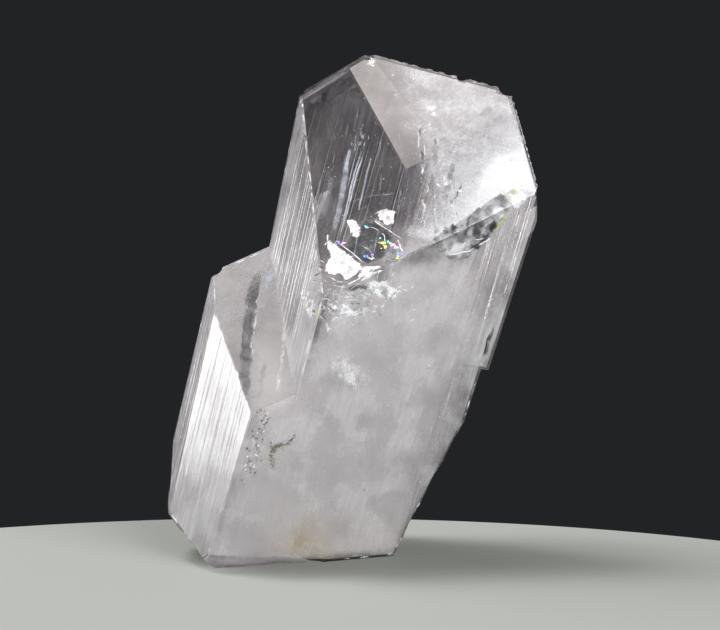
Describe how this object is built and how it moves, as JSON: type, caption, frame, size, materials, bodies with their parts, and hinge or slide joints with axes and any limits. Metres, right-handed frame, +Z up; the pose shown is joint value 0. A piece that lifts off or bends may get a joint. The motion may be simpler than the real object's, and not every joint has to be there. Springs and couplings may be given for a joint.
{
  "type": "danburite crystal",
  "caption": "Clear to milky pale pink twin-grown danburite crystal with wedge-shaped ends, leaning on its broken root.",
  "frame": {"origin": "on the surface it stands on, under the middle of the bounding box", "axes": "+Z up as it stands, -Y to the front, where the broad dome face and the front edge are; the crystals' length leans 14 degrees from +Z towards +X"},
  "size_m": [0.0438, 0.0336, 0.0601],
  "materials": {
    "crystal": "clear, very pale pink, glassy faces with fine grooves along the crystal, IOR 1.63",
    "clouding": "milky pinkish white clouding inside the lower two thirds",
    "fracture": "bright flat cracks and veils inside the crystal",
    "flake": "small rainbow flakes on the cracks",
    "stain": "mossy greenish brown specks and a brownish stain near the root"
  },
  "bodies": {
    "root": {"danburite_crystal": "crystal"}
  },
  "joints": []
}
